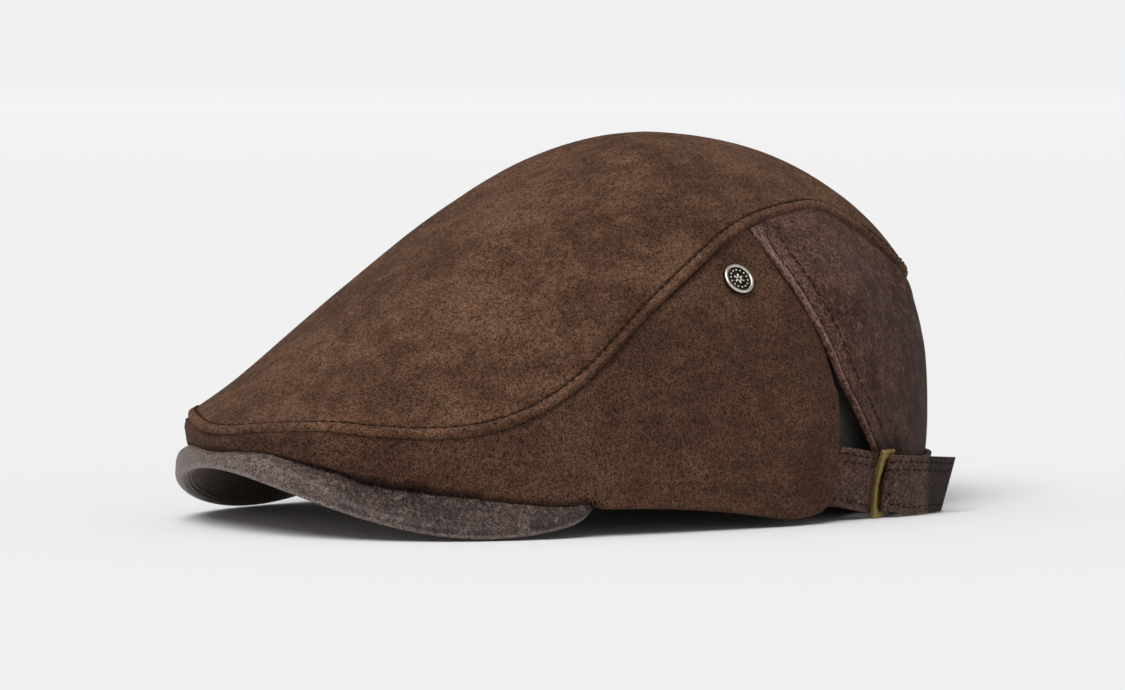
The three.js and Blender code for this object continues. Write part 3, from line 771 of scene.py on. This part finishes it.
def side_panel(top_rim, top_skin):
    """One band round the sides, whose front strip is padded and whose hem meets the peak."""
    piece = outer_sheet("side_panel", "side_panel_suede", lowest=-0.5)
    rim = rim_of(piece)
    sewn = across(rim, PEAK_END, PEAK_MIDDLE)
    for vertex, far in zip(piece.data.vertices, distances(piece, sewn)):
        vertex.co.z -= read(OVER_PEAK, far) * MM
    reach_under(piece, across(rim, SIDE_TOP_CORNER, FRONT_MIDDLE))
    for rear in rears(rim):
        reach_under(piece, rear, by=2.5)
    subdivide(piece)
    even_edge(piece, across(rim_of(piece), PEAK_END, PEAK_MIDDLE))
    relax(piece, distances(piece, sewn), width=6, repeat=10)
    drape(piece, size=30, height=0.5, seed=(5, 2, 9))
    rim = rim_of(piece)
    lapped = rears(rim)
    sewn = across(rim, PEAK_END, PEAK_MIDDLE)
    from_top = distances(piece, top_rim, closed=True)
    from_hem = distances(piece, across(rim, SIDE_TOP_CORNER, HEM_MIDDLE))
    down = [top / max(top + hem, 0.01) for top, hem in zip(from_top, from_hem)]
    front_lift(piece, [TOP_LIFT + STRIP_LIFT * share for share in down])
    raise_by(piece, [STRIP_PADDING * read(PADDED, vertex.co.y / MM) * math.sin(math.pi * share)
                     for vertex, share in zip(piece.data.vertices, down)])
    tuck_under(piece, top_skin, from_top)
    swell(piece, from_hem, HEM, waver=0.1)
    for rear in lapped:
        swell(piece, distances(piece, rear), LAPPED)
    # painted shade under the top panel's roll, on the front strip and beside the peak
    tone(piece, [read(UNDER_ROLL_TONE, far) - read(STRIP_PAINTED_SHADE, vertex.co.y / MM)
                 for vertex, far in zip(piece.data.vertices, from_top)])
    tone(piece, [read(OVER_PEAK_TONE, far) for far in distances(piece, sewn)])
    settle(piece, SIDE_SUEDE, "side_panel", thickness=1.6)


def back_panel(top_rim, top_skin):
    """Its front edges lie on the suede as a roll with two rows of stitches."""
    piece = outer_sheet("back_panel", "back_panel_leather")
    fronts = on_both_sides(rim_of(piece), BACK_TOP_CORNER, BACK_LOW_CORNER, BACK_FRONT_MIDDLE)
    away = [min(pair) for pair in zip(*(distances(piece, front) for front in fronts))]
    seam_rows(piece, BACK_ROWS, lambda face: face.center.z > BEHIND_STRAP and
              min(away[v] for v in face.vertices) < BACK_ROWS_REACH)
    subdivide(piece)
    drape(piece, size=26, height=0.7, seed=(8, 4, 2))
    rim = rim_of(piece)
    reach_under(piece, across(rim, BACK_TOP_CORNER, CROWN_REAR))
    fronts = on_both_sides(rim, BACK_TOP_CORNER, BACK_LOW_CORNER, BACK_FRONT_MIDDLE)
    from_top = distances(piece, top_rim, closed=True)
    tuck_under(piece, top_skin, from_top)
    # painted shade under the top panel's roll; painted light higher up, painted shade lower down and
    # towards the rear
    tone(piece, [read(UNDER_ROLL_TONE, far) for far in from_top])
    tone(piece, [read(PAINTED_LIGHT_BY_HEIGHT, vertex.co.z / MM) - read(SHADED_REAR, vertex.co.y / MM)
                 for vertex in piece.data.vertices])
    for front in fronts:
        away = distances(piece, front)
        swell(piece, away, LEATHER_ROLL, waver=0.25)
        # painted highlight on the roll, painted shade in the stitch grooves
        tone(piece, [read(LEATHER_ROLL_TONE, far) for far in away])
    skin = surface_of(piece)
    for side, front in zip(("left", "right"), fronts):
        for name, inset, share in BACK_STITCHES:
            row = beside(front, skin, inset)
            row = row[:int(len(row) * share)]
            seam("back_panel_%s_%s" % (name, side), row, pitch=2.9, length=2.2)
    settle(piece, BACK_LEATHER, "back_panel", thickness=1.5)


# Strap, tab, peak, lining and metal

def soft_solid(node, name, material, edge, levels=2):
    """The node's solid with its edges rounded off by edge millimetres, and smoothed."""
    piece = copy_of(node, name)
    if edge:
        apply(piece, "BEVEL", width=edge * MM, segments=2, limit_method="ANGLE",
              angle_limit=math.radians(55))
    apply(piece, "SUBSURF", levels=levels, render_levels=levels)
    smooth(piece, 80)
    finish(piece, node, material)
    return piece


BAND_MIDDLE = Vector((0, 0.05, 0))  # the strap and the tab lie round it
WELL_OUTSIDE = 0.2
ROW_STEP = 0.5  # degrees
HEIGHTS = [k * 0.25 * MM for k in range(112)]  # where a band is looked for, from the floor up
BAND_ROWS = [("top", 2.0), ("top", 4.6), ("foot", 2.4)]  # millimetres below its top or above its foot


def band_rows(piece, first, last):
    """Rows round the outer face of a band, between two angles about its middle in degrees."""
    skin = surface_of(piece)
    rows = [[] for _ in BAND_ROWS]
    for step in range(int((last - first) / ROW_STEP)):
        turn = math.radians(first + step * ROW_STEP)
        out = Vector((math.cos(turn), math.sin(turn), 0))

        def hit(height):
            return skin.ray_cast(BAND_MIDDLE + out * WELL_OUTSIDE + Vector((0, 0, height)), -out)[:2]

        struck = [height for height in HEIGHTS if hit(height)[0]]
        if not struck:
            continue
        for (edge, depth), row in zip(BAND_ROWS, rows):
            height = max(struck) - depth * MM if edge == "top" else min(struck) + depth * MM
            place, up = hit(height)
            if place:
                row.append((place, up))
    return rows


def split(row, jump=1.5):
    """Cuts a row where it steps from one layer to another, and shortens the parts a little."""
    parts = [[]]
    last = 0
    for entry in row:
        far = (entry[0] - BAND_MIDDLE).to_2d().length
        if parts[-1] and abs(far - last) > jump * MM:
            parts.append([])
        parts[-1].append(entry)
        last = far
    return [part[1:-2] for part in parts if len(part) > 8]


def band_stitches(piece, name, first, last):
    """Stitches along both edges of a band, between two angles about its middle in degrees."""
    rows = band_rows(piece, first, last)
    for i, row in enumerate(part for whole in rows for part in split(whole)):
        seam("%s_stitch_%d" % (name, i), row, pitch=2.9, length=2.1, thick=0.26)


PICTURE_RIGHT = Vector((0.53, 0.846, 0))
TAIL_SHADE = [(-11.5, 0), (-8.5, -0.8)]  # by distance from the tail's end


def strap():
    """Darker at the end of its loose tail, which reaches furthest to the picture's right."""
    piece = soft_solid("strap", "strap_leather", STRAP_LEATHER, edge=0.4)
    right = [vertex.co.dot(PICTURE_RIGHT) / MM for vertex in piece.data.vertices]
    tail_end = max(right)
    tone(piece, [read(TAIL_SHADE, far - tail_end) for far in right])
    band_stitches(piece, "strap", -3, 183)


def strap_tab():
    """Folded round the slider's bar and stitched like the strap."""
    piece = soft_solid("strap_tab", "tab_leather", TAB_LEATHER, edge=0.4)
    band_stitches(piece, "tab", -4, 24)


CROWN_MIDDLE = Vector((0, 0, 0.03))
LINING_GAP = 2 * MM


def lining():
    """Hangs a little free of the panels, so that their lapped edges have room."""
    piece = soft_solid("lining", "lining_cloth", LINING_CLOTH, edge=0, levels=1)
    for vertex in piece.data.vertices:
        vertex.co += (CROWN_MIDDLE - vertex.co).normalized() * LINING_GAP
    piece.data.update()


BAR_BOW = [(0, 1.7), (0.35, 2.5), (0.65, 2.1), (1, 0.4)]  # by share of the height


def slider():
    """Flat frame whose front bar is bowed by the strap's pull."""
    piece = soft_solid("slider", "slider_brass", BRASS, edge=0.35, levels=1)
    tall = [vertex.co.z / MM for vertex in piece.data.vertices]
    low, high = min(tall), max(tall)
    for vertex, height in zip(piece.data.vertices, tall):
        up = (height - low) / (high - low)
        vertex.co.y -= read(BAR_BOW, up) * MM


# By how much the skin looks up, from -1 to 1, and by how far forward a place lies; the tones are
# painted light on the peak's underside and a painted highlight at its front tip
PEAK_UPPER = [(-0.1, 0), (0.55, 1)]
PEAK_LOWER_TONE = [(-0.6, 0.7), (-0.1, 0)]
PEAK_TIP_TONE = [(-130, 0.5), (-105, 0)]
PEAK_HEART = Vector((0, -0.05, 0))
IN_LINE = 0.9998  # cosine of a little over a degree
BINDING_INSETS = (("outer", 4.2), ("inner", 5.3))


def peak():
    """Thick soft rim, with the two raised lines of its binding on the underside."""
    piece = soft_solid("peak", "peak_leather", PEAK_LEATHER, edge=0)
    front_lift(piece, [PEAK_LIFT * read(PEAK_UPPER, vertex.normal.z) for vertex in piece.data.vertices])
    # painted light on the underside and a painted highlight at the front tip
    tone(piece, [read(PEAK_LOWER_TONE, vertex.normal.z) + read(PEAK_TIP_TONE, vertex.co.y / MM)
                 for vertex in piece.data.vertices])
    rim = []
    for degrees in range(-170, -9):
        turn = math.radians(degrees)
        out = Vector((math.cos(turn), math.sin(turn), 0))
        near = [vertex.co for vertex in piece.data.vertices
                if (vertex.co - PEAK_HEART).to_2d().normalized().dot(out.to_2d()) > IN_LINE]
        if near:
            rim.append(max(near, key=lambda place: (place - PEAK_HEART).dot(out)))
    skin = surface_of(piece)
    for name, inset in BINDING_INSETS:
        points = []
        for place in rim:
            way = (PEAK_HEART - place).to_2d().to_3d().normalized()
            below = Vector((place.x, place.y, -0.05)) + way * inset * MM
            hit = skin.ray_cast(below, Vector((0, 0, 1)))[0]
            if hit:
                points.append(hit)
        cord_of("peak_binding_" + name, points, 0.28, BINDING)


def cord_of(name, points, radius, material):
    """A thin raised line through points."""
    curve = bpy.data.curves.new(name, "CURVE")
    curve.dimensions = "3D"
    curve.bevel_depth = radius * MM
    curve.bevel_resolution = 2
    line = curve.splines.new("POLY")
    line.points.add(len(points) - 1)
    for entry, place in zip(line.points, points):
        entry.co = (place.x, place.y, place.z, 1)
    piece = bpy.data.objects.new(name, curve)
    bpy.context.collection.objects.link(piece)
    only(piece)
    bpy.ops.object.convert(target="MESH")
    bpy.ops.object.shade_smooth()
    finish(bpy.context.object, None, material)


def ring(count, radius, height):
    """Even angles with their places on a circle."""
    angles = [math.radians(360 / count * k) for k in range(count)]
    return [(angle, (radius * math.cos(angle), radius * math.sin(angle), height)) for angle in angles]


def badge():
    """Round stud: bright rim, dark recess, and a rosette in a ring of dots."""
    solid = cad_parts["badge"].data
    up = max((face for face in solid.polygons if face.normal.x > 0), key=lambda face: face.area).normal
    middle = sum((vertex.co for vertex in solid.vertices), Vector()) / len(solid.vertices)
    heights = [(vertex.co - middle).dot(up) for vertex in solid.vertices]
    ahead = (Vector((0, 0, 1)) - up * up.z).normalized()
    turn = Matrix((ahead, up.cross(ahead), up)).transposed().to_4x4()
    foot, top = min(heights) / MM, max(heights) / MM
    parts = []

    def keep(material):
        part = bpy.context.object
        bpy.ops.object.transform_apply(location=True, rotation=True, scale=True)
        bpy.ops.object.shade_smooth()
        part.data.materials.append(material)
        parts.append(part)

    bpy.ops.mesh.primitive_cylinder_add(vertices=64, radius=5.1, depth=top - foot - 0.5,
                                        location=(0, 0, (top + foot - 0.5) / 2))
    apply(bpy.context.object, "BEVEL", width=0.25, segments=3, limit_method="ANGLE",
          angle_limit=math.radians(60))
    keep(RECESS)
    bpy.ops.mesh.primitive_torus_add(major_radius=4.75, minor_radius=0.55, major_segments=64,
                                     minor_segments=12, location=(0, 0, top - 0.5))
    keep(SILVER)
    for angle, place in ring(6, 1.15, top - 0.45):
        bpy.ops.mesh.primitive_uv_sphere_add(segments=8, ring_count=6, radius=1)
        petal = bpy.context.object
        petal.scale = (0.85, 0.4, 0.3)
        petal.rotation_euler = (0, 0, angle)
        petal.location = place
        keep(SILVER)
    for _, place in ring(14, 3.1, top - 0.45):
        bpy.ops.mesh.primitive_uv_sphere_add(segments=8, ring_count=6, radius=0.34)
        bpy.context.object.location = place
        keep(SILVER)
    piece = joined(parts, "badge_stud")
    piece.data.transform(Matrix.Translation(middle) @ turn @ Matrix.Scale(MM, 4))
    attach(piece, "root")
    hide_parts("badge")


top_rim, top_skin = top_panel()
side_panel(top_rim, top_skin)
back_panel(top_rim, top_skin)
peak()
lining()
strap()
strap_tab()
slider()
badge()
bpy.data.objects.remove(STITCH)


# Floor and a low pale wall far behind it

STUDIO_RADIUS = 12
WALL_HEIGHT = 3


def studio():
    """Paper that darkens a little far from the cap, and a wall that glows evenly."""
    paper = Finish("pale paper", Roughness=1.0, Specular_IOR_Level=0.0)
    far = paper.node("ShaderNodeVectorMath", output=1, settings={"operation": "LENGTH"},
                     Vector=paper.place)
    paper.colour(paper.blend(paper.band(far, 7, 12), grey(0.85), grey(0.7)))
    bpy.ops.mesh.primitive_circle_add(vertices=96, radius=STUDIO_RADIUS, fill_type="NGON")
    sheet = bpy.context.object
    sheet.name = "studio_floor"
    sheet.data.materials.append(paper.material)
    glow = Finish("lit wall", Roughness=1.0, Specular_IOR_Level=0.0, Emission_Strength=0.88)
    glow.colour(grey(0.0))
    glow.shader.inputs["Emission Color"].default_value = grey(1.0)
    bpy.ops.mesh.primitive_cylinder_add(vertices=96, radius=STUDIO_RADIUS, depth=WALL_HEIGHT,
                                        end_fill_type="NOTHING", location=(0, 0, WALL_HEIGHT / 2))
    wall = bpy.context.object
    wall.name = "studio_wall"
    wall.data.materials.append(glow.material)


studio()
